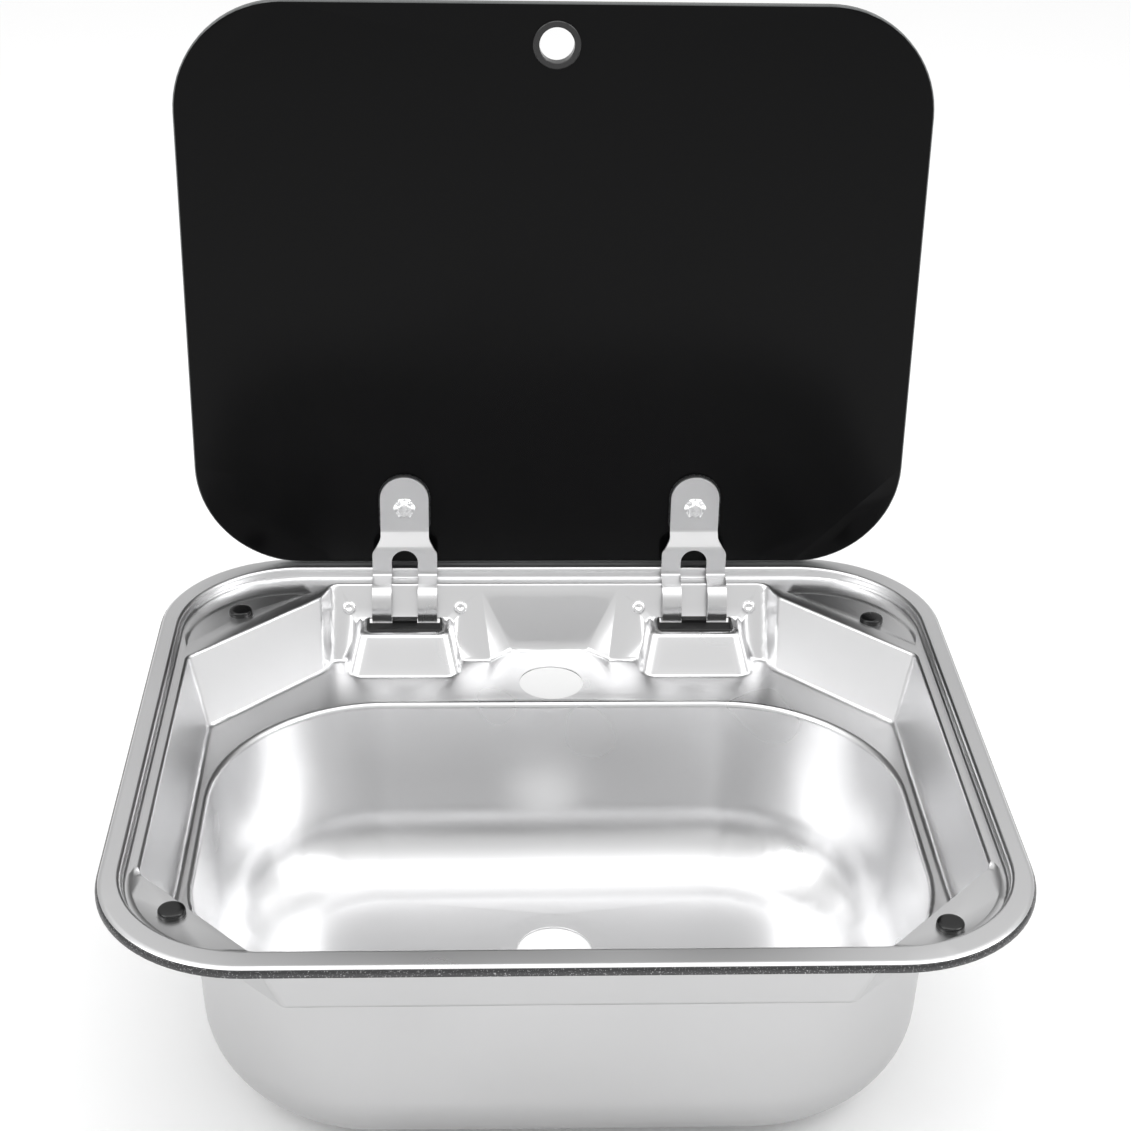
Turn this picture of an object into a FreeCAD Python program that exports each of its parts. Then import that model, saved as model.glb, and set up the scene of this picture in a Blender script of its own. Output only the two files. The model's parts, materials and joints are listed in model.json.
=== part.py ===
"""Rectangular drop-in sink for a small kitchen, with a hinged dark glass lid.

Millimetres, +Z up, +Y to the rear.  The origin is the centre of the worktop
opening, on the worktop's surface, so the folded lip of the rim stands on z = 0.
The lid is drawn open, leaning back a little, as it stands in use.
"""
import FreeCAD
import Part
import math
import os

Vec = FreeCAD.Vector
X_AXIS, Y_AXIS, Z_AXIS = Vec(1, 0, 0), Vec(0, 1, 0), Vec(0, 0, 1)

# ---- pressed sink shell -------------------------------------------------
SHEET = 0.8               # stainless sheet
RIM_WIDTH, RIM_DEPTH, RIM_CORNER = 420.0, 370.0, 71.0
RIM_EDGE = 3.4            # round outer edge of the rim
LIP_DROP = 4.2            # from the rim's top down to the worktop

POCKET_WIDTH, POCKET_DEPTH, POCKET_CORNER = 398.6, 341.6, 61.0
POCKET_DROP = 6.0         # the lid lies in this shallow pocket
POCKET_TOP_ROUND, POCKET_FOOT_ROUND = 2.2, 1.8

PAN_DROP = 42.5           # deck that carries the tap, below the rim's top
PAN_TOP_ROUND, PAN_FOOT_ROUND = 2.0, 3.0
PAN_CORNER = 6.0
# half outlines of the eight-sided pan, from the rear middle round to the front
PAN_TOP = ((121.5, 163.5), (127.0, 148.0), (192.5, 84.0), (192.5, -106.8), (138.9, -163.5))
PAN_FOOT = ((121.0, 140.5), (125.0, 129.5), (182.5, 72.0), (182.5, -101.0), (125.0, -157.5))

BOWL_WIDTH, BOWL_REAR, BOWL_FRONT = 351.0, 95.0, -151.0
BOWL_CORNER_REAR, BOWL_CORNER_FRONT = 87.0, 90.0
BOWL_DRAFT = 4.0          # how far each wall leans in from rim to floor
BOWL_RIM_ROUND, BOWL_FLOOR_ROUND = 3.2, 39.2
SINK_HEIGHT = 145.0       # rim's top to the underside of the drain dish

DRAIN_Y, DRAIN_RADIUS, DRAIN_DISH_RADIUS, DRAIN_DISH_DROP = 12.0, 20.0, 29.0, 1.8
TAP_HOLE_Y, TAP_HOLE_RADIUS = 117.3, 17.5

# recess behind the tap: half widths and rear wall at its top and at the deck
ALCOVE_TOP_DROP, ALCOVE_TOP_HALF, ALCOVE_FOOT_HALF = 9.0, 38.3, 21.0
ALCOVE_FOOT_Y = 151.5
ALCOVE_FLARE = (12.5, -11.0)   # its side faces run out and forwards like this

# corner platforms: centre and radius of the outer arc, heading and distance of the inner edge
PLATFORM_DEPTH, PLATFORM_STEP = 1.0, 0.9
REAR_PLATFORM = ((141.0, 101.0), 54.0, (64.0, 65.5), 31.8)
FRONT_PLATFORM = ((139.5, -109.0), 56.0, (56.7, -53.6), 35.4)

HINGE_X = 80.9            # hinges stand this far either side of the middle
HOOD_TOP_DROP = 21.6      # hood that houses each hinge: its top where it leaves the rear wall
HOOD_TOP_Y = 153.5
HOOD_TOP_ANGLE = 8.3      # its top falls towards the bowl
HOOD_TOP_FRONT_Y, HOOD_FOOT_FRONT_Y = 137.0, 123.0
HOOD_TOP_HALF, HOOD_FOOT_HALF = 25.0, 29.5
HOOD_BACK_SPREAD = 5.0    # extra half width at its back
HOOD_BACK_Y = 172.0
HOOD_EDGE_ROUND, HOOD_SIDE_ROUND = 4.0, 7.0
SLOT_HALF, SLOT_LENGTH, SLOT_CORNER = 20.8, 12.7, 2.5     # opening in each hood's top

# ---- lid ------------------------------------------------------------------
GLASS_WIDTH, GLASS_DEPTH, GLASS_CORNER, GLASS = 391.4, 312.4, 57.5, 5.0
GLASS_BEVEL = 0.7
LID_LEAN = 1.8            # open lid leans back
LID_OPEN_Y, LID_OPEN_DROP = 177.3, -0.6      # lower front edge of the open glass
LID_SHUT_Y, LID_SHUT_DROP = 144.9, 3.9       # the same edge when the lid is shut
LID_TRAVEL = 90.0 + LID_LEAN
FINGER_HOLE_H, FINGER_RADIUS, FINGER_WALL, FINGER_FLANGE = 291.4, 9.0, 1.45, 12.25
FINGER_FLANGE_THICK = 1.2

# ---- hinge arm, heights measured up the glass from its lower edge ----------------
ARM_SHEET, GASKET = 1.5, 1.5
TAB_HALF, TAB_CENTRE_H, SCREW_H = 13.4, 39.9, 34.8
JOGGLE_TOP_H, JOGGLE_FOOT_H, JOGGLE, JOGGLE_ROUND = 20.5, 12.5, 6.6, 3.0
ARM_HALF, SHOULDER_TOP_H, SHOULDER_FOOT_H, SHOULDER_ROUND = 18.0, 17.0, 10.0, 5.0
ARCH_HALF, ARCH_H = 7.3, 4.4
GOOSE_RADIUS, GOOSE_START, GOOSE_END = 13.0, 104.0, 228.0   # middle of the strip, about the pin
GOOSE_TAIL, TAIL_ROUND = 3.0, 2.0
FOOT_ROUND = 2.25
KNUCKLE_RADIUS, PIN_RADIUS, PIN_PLAY = 2.9, 1.5, 0.05
GASKET_SHOWS = 0.9        # the gasket is this much larger than the tab

# ---- fasteners of the lid ------------------------------------------------
SCREW_RADIUS, SCREW_FIT = 2.45, 0.1
BUSH_RADIUS = 4.0
STAR_RADIUS, STAR_LOBES, STAR_THICK, LOBE_RADIUS, LOBE_SINK = 6.5, 6, 0.8, 2.6, 0.9
HEAD_RADIUS, HEAD_HEIGHT, HEAD_CHAMFER = 4.6, 3.6, 0.8      # hexagon, across its corners
DIMPLE_RADIUS, DIMPLE_DEPTH = 2.3, 0.6
WASHER_RADIUS, WASHER_THICK = 7.5, 1.2
NUT_RADIUS, NUT_HEIGHT, NUT_DOME = 4.6, 3.6, 3.6

# ---- hinge bracket behind the rear wall, in the plane of that wall ------------------
BRACKET, BRACKET_HALF, BRACKET_TOP, BRACKET_FOOT = 1.2, 35.5, 7.2, -7.6
WINDOW_TOP = 4.2          # opening between the ears for the knuckles
EAR_INNER, EAR_THICK = 19.2, 1.5
STOP_LOW, STOP_HIGH, STOP_THICK, STOP_GAP = 4.6, 7.4, 1.2, 0.3
RIVET_X, RIVET_RISE = 31.0, -3.6
RIVET_HEAD, RIVET_HEIGHT, RIVET_SHANK = 3.8, 1.7, 1.6
SLEEVE_RADIUS, SLEEVE_PLAY = 2.6, 0.1
PIN_HEAD, PIN_HEAD_THICK, PIN_TAIL = 2.35, 1.2, 1.8
CLIP_THICK, CLIP_RADIUS, CLIP_GROOVE = 0.6, 2.35, 1.1

# ---- slot liner and bumpers ----------------------------------------------------
LINER_WALL, LINER_FIT, LINER_PROUD, LINER_DEPTH = 1.2, 0.05, 0.5, 6.0
LINER_FLANGE, LINER_FLANGE_THICK = 1.6, 1.0
LINER_BLOCK_HALF, LINER_BLOCK_LENGTH = 6.9, 3.6
LINER_SHELF_DROP, LEG_PLAY = 1.2, 0.9     # its shelf closes the slot in front of the legs
BUMPER_RADIUS, BUMPER_HEIGHT, BUMPER_ROUND, BUMPER_STEM = 6.25, 3.0, 0.8, 2.0
BUMPERS = {
    "bumper_front_left": (-174.3, -136.0),
    "bumper_rear_left": (-169.4, 132.3),
    "bumper_rear_right": (175.0, 122.5),
    "bumper_front_right": (166.0, -149.5),
}


def z_at(drop):
    """Height of something that lies this far below the rim's top."""
    return LIP_DROP - drop


def mirrored(half):
    """Close a half outline, given on +X from the rear round to the front."""
    return [(-x, y) for x, y in half] + [(x, y) for x, y in reversed(half)]


def rounded_wire(points, radii, place):
    """Closed wire through 2-D points with each corner rounded, set in space by place(u, v)."""
    count = len(points)
    flat = [Vec(u, v, 0) for u, v in points]
    starts, mids, ends = [], [], []
    for i, corner in enumerate(flat):
        to_last = (flat[i - 1] - corner).normalize()
        to_next = (flat[(i + 1) % count] - corner).normalize()
        half_angle = to_last.getAngle(to_next) / 2.0
        reach = radii[i] / math.tan(half_angle)
        bisector = (to_last + to_next).normalize()
        starts.append(corner + to_last * reach)
        ends.append(corner + to_next * reach)
        mids.append(corner + bisector * (radii[i] / math.sin(half_angle) - radii[i]))
    edges = []
    for i in range(count):
        start, mid, end = [place(p.x, p.y) for p in (starts[i], mids[i], ends[i])]
        if radii[i] > 0:
            edges.append(Part.Arc(start, mid, end).toShape())
        following = place(starts[(i + 1) % count].x, starts[(i + 1) % count].y)
        if (following - end).Length > 1e-6:
            edges.append(Part.LineSegment(end, following).toShape())
    return Part.Wire(edges)


def level(z):
    """Place 2-D points in the horizontal plane at z."""
    return lambda u, v: Vec(u, v, z)


def block(points, radii, low, high):
    """Upright solid over a rounded outline."""
    return Part.Face(rounded_wire(points, radii, level(low))).extrude(Vec(0, 0, high - low))


def grown(points, by):
    """Move every side of a closed outline outwards, by one distance or by one for each side.

    Side i runs from point i to the next one.
    """
    count, moved = len(points), []
    steps = by if isinstance(by, list) else [by] * count
    turn = sum(points[i - 1][0] * points[i][1] - points[i][0] * points[i - 1][1] for i in range(count))
    way = 1.0 if turn > 0 else -1.0
    normals = []
    for i, (x, y) in enumerate(points):
        next_x, next_y = points[(i + 1) % count]
        length = math.hypot(next_x - x, next_y - y)
        normals.append((way * (next_y - y) / length, -way * (next_x - x) / length))
    for i, (x, y) in enumerate(points):
        (back_x, back_y), (ahead_x, ahead_y) = normals[i - 1], normals[i]
        cross = back_x * ahead_y - back_y * ahead_x
        move_x = (steps[i - 1] * ahead_y - steps[i] * back_y) / cross
        move_y = (steps[i] * back_x - steps[i - 1] * ahead_x) / cross
        moved.append((x + move_x, y + move_y))
    return moved


def rectangle(width, depth, centre_y=0.0):
    half, front, back = width / 2.0, centre_y - depth / 2.0, centre_y + depth / 2.0
    return [(-half, front), (half, front), (half, back), (-half, back)]


def loft(lower, upper):
    return Part.makeLoft([lower, upper], True, True)


def rounded(solid, radius, chosen):
    """Round the edges of a solid for which chosen(edge) is true."""
    return solid.makeFillet(radius, [edge for edge in solid.Edges if chosen(edge)])


def lies_at(z, slack=0.01):
    """Edges that lie flat at height z."""
    return lambda edge: abs(edge.BoundBox.ZMin - z) < slack and abs(edge.BoundBox.ZMax - z) < slack


def within(edge, half_x, low_y, high_y):
    box = edge.BoundBox
    return box.XMin > -half_x and box.XMax < half_x and box.YMin > low_y and box.YMax < high_y


ABOVE = 30.0              # cutting solids run this far past the surface they open


def slab_space(skin):
    """Everything above the rim's top."""
    return block(rectangle(RIM_WIDTH * 1.2, RIM_DEPTH * 1.2), [0] * 4, z_at(0) - skin, z_at(-ABOVE))


def pocket_space(skin):
    """The lid's pocket, open to the space above the rim."""
    outline = grown(rectangle(POCKET_WIDTH, POCKET_DEPTH), skin)
    floor = z_at(POCKET_DROP) - skin
    space = block(outline, [POCKET_CORNER + skin] * 4, floor, z_at(-ABOVE))
    space = rounded(space, POCKET_FOOT_ROUND + skin, lies_at(floor))
    space = space.fuse(slab_space(skin)).removeSplitter()
    at_mouth = lies_at(z_at(0) - skin)
    inner = lambda edge: at_mouth(edge) and within(edge, POCKET_WIDTH * 0.51, -POCKET_DEPTH, POCKET_DEPTH)
    return rounded(space, POCKET_TOP_ROUND - skin, inner)


def platform_wire(spec, side, grow, z):
    """Outline of a corner platform: an arc closed by its straight inner edge."""
    (centre_x, centre_y), radius, (head_x, head_y), distance = spec
    heading = Vec(head_x * side, head_y, 0).normalize()
    across = Vec(-heading.y, heading.x, 0)
    centre = Vec(centre_x * side, centre_y, z)
    reach, inner = radius + grow, distance - grow
    half = math.sqrt(reach ** 2 - inner ** 2)
    start = centre + heading * inner + across * half
    end = centre + heading * inner - across * half
    arc = Part.Arc(start, centre + heading * reach, end).toShape()
    return Part.Wire([arc, Part.LineSegment(end, start).toShape()])


def platform_space(spec, side, skin):
    floor = z_at(POCKET_DROP + PLATFORM_DEPTH) - skin
    lower = platform_wire(spec, side, -PLATFORM_STEP + 0.41 * skin, floor)
    upper = platform_wire(spec, side, 1.41 * skin, z_at(POCKET_DROP))
    return loft(lower, upper)


def alcove_space(skin):
    """Recess in the pan's rear wall, behind the tap."""
    fall = (ALCOVE_TOP_DROP - POCKET_DROP) / (PAN_DROP - POCKET_DROP)
    top_y = PAN_TOP[0][1] - fall * (PAN_TOP[0][1] - PAN_FOOT[0][1])
    wires = []
    for drop in (PAN_DROP, POCKET_DROP - 3.0):
        rise = (PAN_DROP - drop) / (PAN_DROP - ALCOVE_TOP_DROP)
        half = ALCOVE_FOOT_HALF + rise * (ALCOVE_TOP_HALF - ALCOVE_FOOT_HALF)
        back = ALCOVE_FOOT_Y + rise * (top_y - ALCOVE_FOOT_Y)
        side_x, side_y = half + 2.4 * ALCOVE_FLARE[0], back + 2.4 * ALCOVE_FLARE[1]
        outline = grown([(-half, back), (-side_x, side_y), (side_x, side_y), (half, back)], skin * 1.05)
        z = z_at(drop) - (skin if drop == PAN_DROP else 0.0)
        wires.append(rounded_wire(outline, [0] * 4, level(z)))
    return loft(wires[0], wires[1])


def hood_frame(centre_x):
    """Frame on a hood's sloping top, X along the hinge and Y up the slope."""
    return FreeCAD.Placement(Vec(centre_x, HOOD_TOP_Y, z_at(HOOD_TOP_DROP)),
                             FreeCAD.Rotation(X_AXIS, HOOD_TOP_ANGLE))


def hood(centre_x, skin):
    """Raised box pressed into the deck and the rear wall to cover one hinge."""
    fall_to_front = (HOOD_TOP_Y - HOOD_TOP_FRONT_Y) * math.tan(math.radians(HOOD_TOP_ANGLE))
    front_drop = HOOD_TOP_DROP + fall_to_front
    wires = []
    for drop in (PAN_DROP + 4.0, HOOD_TOP_DROP - 8.0):
        fall = (drop - front_drop) / (PAN_DROP - front_drop)
        half = HOOD_TOP_HALF + fall * (HOOD_FOOT_HALF - HOOD_TOP_HALF)
        front = HOOD_TOP_FRONT_Y + fall * (HOOD_FOOT_FRONT_Y - HOOD_TOP_FRONT_Y)
        spread = HOOD_BACK_SPREAD * (HOOD_BACK_Y - front) / (HOOD_BACK_Y - HOOD_TOP_FRONT_Y)
        outline = [(centre_x - half, front), (centre_x + half, front),
                   (centre_x + half + spread, HOOD_BACK_Y), (centre_x - half - spread, HOOD_BACK_Y)]
        radii = [HOOD_SIDE_ROUND - skin, HOOD_SIDE_ROUND - skin, 0, 0]
        wires.append(rounded_wire(grown(outline, -skin * 1.1), radii, level(z_at(drop))))
    above_top = Part.makeBox(200, 200, 60, Vec(-100, -100, -skin))
    above_top.Placement = hood_frame(centre_x)
    body = loft(wires[0], wires[1]).cut(above_top)
    on_top = [face for face in body.Faces if face.normalAt(0, 0).z > 0.95][0]
    rim = [edge for edge in on_top.Edges if edge.BoundBox.YMin < HOOD_BACK_Y - 2.0]
    return body.makeFillet(HOOD_EDGE_ROUND - skin, rim)


def wall_leans(top, foot):
    """How far each wall leans in, per unit of depth, from its outline at the top and at the foot."""
    leans, count = [], len(top)
    for i in range(count):
        along = (Vec(*top[(i + 1) % count], 0) - Vec(*top[i], 0)).normalize()
        offset = Vec(*foot[i], 0) - Vec(*top[i], 0)
        leans.append(abs(along.x * offset.y - along.y * offset.x) / (PAN_DROP - POCKET_DROP))
    return leans


def pan_space(skin):
    """The eight-sided pan with its alcove, less the two hinge hoods."""
    top, foot = mirrored(PAN_TOP), mirrored(PAN_FOOT)
    leans = wall_leans(top, foot)
    floor = z_at(PAN_DROP) - skin
    radii = [PAN_CORNER + skin] * len(top)
    at_top = [skin * math.hypot(1.0, lean) for lean in leans]
    at_foot = [skin * (math.hypot(1.0, lean) - lean) for lean in leans]
    upper = rounded_wire(grown(top, at_top), radii, level(z_at(POCKET_DROP)))
    lower = rounded_wire(grown(foot, at_foot), radii, level(floor))
    space = loft(lower, upper).fuse(alcove_space(skin))
    for centre_x in (-HINGE_X, HINGE_X):
        space = space.cut(hood(centre_x, skin))
    return rounded(space, PAN_FOOT_ROUND + skin, lies_at(floor))


def bowl_space(skin):
    depth = BOWL_REAR - BOWL_FRONT
    centre = (BOWL_REAR + BOWL_FRONT) / 2.0
    floor = z_at(SINK_HEIGHT - SHEET - DRAIN_DISH_DROP) - skin
    radii = [BOWL_CORNER_FRONT + skin] * 2 + [BOWL_CORNER_REAR + skin] * 2
    shrunk = [radius - BOWL_DRAFT for radius in radii]
    top = grown(rectangle(BOWL_WIDTH, depth, centre), skin)
    upper = rounded_wire(top, radii, level(z_at(PAN_DROP - 10.0)))
    lower = rounded_wire(grown(top, -BOWL_DRAFT), shrunk, level(floor))
    space = loft(lower, upper)
    return rounded(space, BOWL_FLOOR_ROUND + skin, lies_at(floor))


def turned(profile, centre_x=0.0, centre_y=0.0):
    """Solid of revolution about an upright axis from (radius, z) corners."""
    corners = [Vec(radius, 0, z) for radius, z in profile]
    face = Part.Face(Part.makePolygon(corners + corners[:1]))
    solid = face.revolve(Vec(0, 0, 0), Z_AXIS, 360)
    solid.translate(Vec(centre_x, centre_y, 0))
    return solid


def dish_space(skin):
    """Shallow round dish about the drain opening."""
    floor = z_at(SINK_HEIGHT - SHEET - DRAIN_DISH_DROP) - skin
    foot = floor - DRAIN_DISH_DROP
    mouth = DRAIN_DISH_RADIUS + 0.3 * skin
    profile = [(0, floor + 3.0), (mouth, floor + 3.0), (mouth, floor), (mouth - 3.0, foot), (0, foot)]
    return turned(profile, 0.0, DRAIN_Y)


def inside_space(skin):
    """All the room above the sheet; skin moves its boundary down and outwards."""
    space = pocket_space(skin).fuse([pan_space(skin), bowl_space(skin)]).removeSplitter()
    ledge, deck = lies_at(z_at(POCKET_DROP) - skin), lies_at(z_at(PAN_DROP) - skin)
    side, front, rear = PAN_TOP[2][0] + 2, PAN_TOP[-1][1] - 2, PAN_TOP[0][1] + 2
    pan_mouth = lambda edge: ledge(edge) and within(edge, side, front, rear)
    space = rounded(space, PAN_TOP_ROUND - skin, pan_mouth)
    bowl_mouth = lambda edge: deck(edge) and within(edge, BOWL_WIDTH / 2 + 2, BOWL_FRONT - 2, BOWL_REAR + 2)
    space = rounded(space, BOWL_RIM_ROUND - skin, bowl_mouth)
    extras = [dish_space(skin)]
    for spec in (REAR_PLATFORM, FRONT_PLATFORM):
        extras += [platform_space(spec, side, skin) for side in (-1, 1)]
    return space.fuse(extras).removeSplitter()


def rim_prism(inset, low, high):
    outline = grown(rectangle(RIM_WIDTH, RIM_DEPTH), -inset)
    return block(outline, [RIM_CORNER - inset] * 4, low, high)


def rim_cap(inset):
    top = z_at(0) - inset
    return rounded(rim_prism(inset, 0.0, top), RIM_EDGE - inset, lies_at(top))


def pressed_sheet():
    """The whole pressing before anything is pierced."""
    field = rim_prism(RIM_EDGE, -SINK_HEIGHT - 10.0, z_at(0))
    sheet = inside_space(SHEET).common(field).cut(inside_space(0.0))
    edge = rim_cap(0.0).cut(rim_cap(SHEET)).cut(field)
    return sheet.fuse(edge).removeSplitter()


def hinge_axis():
    """(y, z) of the pin: the centre of the turn that carries the lid from open to shut."""
    opened = Vec(0, LID_OPEN_Y, z_at(LID_OPEN_DROP))
    shut = Vec(0, LID_SHUT_Y, z_at(LID_SHUT_DROP))
    chord = shut - opened
    across = Vec(0, chord.z, -chord.y) * -1.0
    reach = chord.Length / 2.0 / math.tan(math.radians(LID_TRAVEL / 2.0))
    return (opened + shut) * 0.5 + across.normalize() * reach


def lid_frame(centre_x=0.0):
    """Frame of the open lid: Y runs back from the front face, Z up from the lower edge."""
    return FreeCAD.Placement(Vec(centre_x, LID_OPEN_Y, z_at(LID_OPEN_DROP)),
                             FreeCAD.Rotation(X_AXIS, -LID_LEAN))


def wall_frame(centre_x):
    """Frame on the pan's rear wall: Y up the wall, Z out of its front, level with the pin."""
    fall = Vec(0, PAN_FOOT[0][1] - PAN_TOP[0][1], POCKET_DROP - PAN_DROP).normalize()
    corner = Vec(centre_x, PAN_TOP[0][1], z_at(POCKET_DROP))
    pin = hinge_axis()
    along = (pin - corner).dot(fall)
    origin = corner + fall * along
    slope = math.degrees(math.atan2(-fall.z, -fall.y))
    return FreeCAD.Placement(Vec(centre_x, origin.y, origin.z), FreeCAD.Rotation(X_AXIS, slope))


def placed(shape, frame):
    moved = shape.copy()
    moved.Placement = frame.multiply(moved.Placement)
    return moved


def disc(radius, start, length, axis):
    """Cylinder along an axis, starting at a point."""
    return Part.makeCylinder(radius, length, start, axis)


def hinge_tools(centre_x):
    """Cutters for one hinge: slot in the hood and rivet holes."""
    slot = block(rectangle(2 * SLOT_HALF, SLOT_LENGTH, -SLOT_LENGTH / 2.0 - 0.3),
                 [SLOT_CORNER] * 4, -3.0, 3.0)
    tools = [placed(slot, hood_frame(centre_x))]
    for x in (-RIVET_X, RIVET_X):
        hole = disc(RIVET_SHANK, Vec(x, RIVET_RISE, -5), 10, Z_AXIS)
        tools.append(placed(hole, wall_frame(centre_x)))
    return tools


def sink_shell():
    shell = pressed_sheet()
    tools = [disc(TAP_HOLE_RADIUS, Vec(0, TAP_HOLE_Y, z_at(PAN_DROP + 5)), 10, Z_AXIS)]
    tools.append(disc(DRAIN_RADIUS, Vec(0, DRAIN_Y, z_at(SINK_HEIGHT + 5)), 12, Z_AXIS))
    for centre_x in (-HINGE_X, HINGE_X):
        tools += hinge_tools(centre_x)
    for x, y in BUMPERS.values():
        tools.append(disc(BUMPER_STEM, Vec(x, y, z_at(POCKET_DROP + 5)), 8, Z_AXIS))
    return shell.cut(tools)


def upright(u, v):
    """Place 2-D points in the plane of the glass's front face."""
    return Vec(u, 0, v)


def glass_lid():
    outline = rectangle(GLASS_WIDTH, GLASS_DEPTH, GLASS_DEPTH / 2.0)
    pane = Part.Face(rounded_wire(outline, [GLASS_CORNER] * 4, upright)).extrude(Y_AXIS * GLASS)
    rim = [edge for edge in pane.Edges if edge.BoundBox.YLength < 0.01]
    pane = pane.makeChamfer(GLASS_BEVEL, rim)
    holes = [disc(FINGER_RADIUS + FINGER_WALL, Vec(0, -1, FINGER_HOLE_H), GLASS + 2, Y_AXIS)]
    for x in (-HINGE_X, HINGE_X):
        holes.append(disc(BUSH_RADIUS, Vec(x, -1, SCREW_H), GLASS + 2, Y_AXIS))
    return placed(pane.cut(holes), lid_frame())


def lid_ring(profile, x, h):
    """Ring about a line square to the glass, from (radius, depth behind the face) corners."""
    corners = [Vec(radius, depth, 0) for radius, depth in profile]
    solid = Part.Face(Part.makePolygon(corners + corners[:1])).revolve(Vec(0, 0, 0), Y_AXIS, 360)
    solid.translate(Vec(x, 0, h))
    return solid


def finger_grommet():
    thick, wall, flange = FINGER_FLANGE_THICK, FINGER_RADIUS + FINGER_WALL, FINGER_FLANGE
    soft = 0.4
    profile = [(FINGER_RADIUS, -thick + soft), (FINGER_RADIUS + soft, -thick), (flange - soft, -thick),
               (flange, -thick + soft), (flange, 0), (wall, 0), (wall, GLASS), (flange, GLASS),
               (flange, GLASS + thick - soft), (flange - soft, GLASS + thick),
               (FINGER_RADIUS + soft, GLASS + thick), (FINGER_RADIUS, GLASS + thick - soft)]
    return placed(lid_ring(profile, 0, FINGER_HOLE_H), lid_frame())


def ribbon(points, radii, thickness, width):
    """Bent strip: a middle line of (y, z) corners, its inner corners rounded, extruded along X."""
    count, half = len(points), thickness / 2.0
    flat = [Vec(u, v, 0) for u, v in points]
    sides = {1.0: [], -1.0: []}
    rounds = {1.0: [], -1.0: []}
    for i, corner in enumerate(flat):
        into = (corner - flat[i - 1]).normalize() if i else (flat[1] - corner).normalize()
        out = (flat[i + 1] - corner).normalize() if i < count - 1 else into
        normal_in, normal_out = Vec(-into.y, into.x, 0), Vec(-out.y, out.x, 0)
        miter = (normal_in + normal_out).normalize()
        reach = half / miter.dot(normal_in)
        left_turn = into.x * out.y - into.y * out.x > 0
        for side in (1.0, -1.0):
            moved = corner + miter * (reach * side)
            inside = left_turn == (side > 0)
            sides[side].append((moved.x, moved.y))
            rounds[side].append(radii[i] + (-half if inside else half) if radii[i] else 0)
    outline = sides[1.0] + sides[-1.0][::-1]
    corners = rounds[1.0] + rounds[-1.0][::-1]
    wire = rounded_wire(outline, corners, lambda u, v: Vec(-width / 2.0, u, v))
    return Part.Face(wire).extrude(Vec(width, 0, 0))


def about_pin(radius, angle):
    """(y, z) at a distance and an angle from the pin, the angle from the rear upwards."""
    pin, turn = hinge_axis(), math.radians(angle)
    return (pin.y + radius * math.cos(turn), pin.z + radius * math.sin(turn))


def arm_path():
    """Middle line of the arm from its tab down to the knuckle."""
    frame, pin = lid_frame(), hinge_axis()
    tab_n = -GASKET - ARM_SHEET / 2.0
    plate_n = tab_n - JOGGLE
    tab_top = frame.multVec(Vec(0, tab_n, TAB_CENTRE_H + TAB_HALF + 2.0))
    joggle_top = frame.multVec(Vec(0, tab_n, JOGGLE_TOP_H))
    joggle_foot = frame.multVec(Vec(0, plate_n, JOGGLE_FOOT_H))
    sweep = GOOSE_END - GOOSE_START
    start, middle = about_pin(GOOSE_RADIUS, GOOSE_START), (GOOSE_START + GOOSE_END) / 2.0
    turn_point = about_pin(GOOSE_RADIUS / math.cos(math.radians(sweep / 2.0)), middle)
    heading = Vec(0, start[0] - turn_point[0], start[1] - turn_point[1]).normalize()
    down = frame.Rotation.multVec(Vec(0, 0, -1))
    gap = Vec(0, start[0] - joggle_foot.y, start[1] - joggle_foot.z)
    scale = (gap.y * heading.z - gap.z * heading.y) / (down.y * heading.z - down.z * heading.y)
    foot = joggle_foot + down * scale
    end, tail_angle = about_pin(GOOSE_RADIUS, GOOSE_END), math.radians(GOOSE_END)
    tail = (end[0] - GOOSE_TAIL * math.sin(tail_angle), end[1] + GOOSE_TAIL * math.cos(tail_angle))
    inward = Vec(0, pin.y - tail[0], pin.z - tail[1])
    last = inward * (1.0 - (KNUCKLE_RADIUS - 0.7) / inward.Length)
    points = [(tab_top.y, tab_top.z), (joggle_top.y, joggle_top.z), (joggle_foot.y, joggle_foot.z),
              (foot.y, foot.z), turn_point, tail, (tail[0] + last.y, tail[1] + last.z)]
    return points, [0, JOGGLE_ROUND, JOGGLE_ROUND, FOOT_ROUND, GOOSE_RADIUS, TAIL_ROUND, 0]


def arm_outline():
    """Front view of the arm, without the arch between its legs."""
    low = -60.0
    half = [(ARM_HALF, low), (ARM_HALF, SHOULDER_FOOT_H), (TAB_HALF, SHOULDER_TOP_H),
            (TAB_HALF, TAB_CENTRE_H + TAB_HALF)]
    points = half + [(-x, h) for x, h in reversed(half)]
    almost = TAB_HALF - 0.05
    radii = [0, SHOULDER_ROUND, SHOULDER_ROUND, almost, almost, SHOULDER_ROUND, SHOULDER_ROUND, 0]
    return Part.Face(rounded_wire(points, radii, lambda u, v: Vec(u, -50, v))).extrude(Y_AXIS * 100)


def arch():
    """Gap between the two legs."""
    slot = Part.makeBox(2 * ARCH_HALF, 100, 70, Vec(-ARCH_HALF, -50, ARCH_H - 70))
    return slot.fuse(disc(ARCH_HALF, Vec(0, -50, ARCH_H), 100, Y_AXIS))


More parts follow.
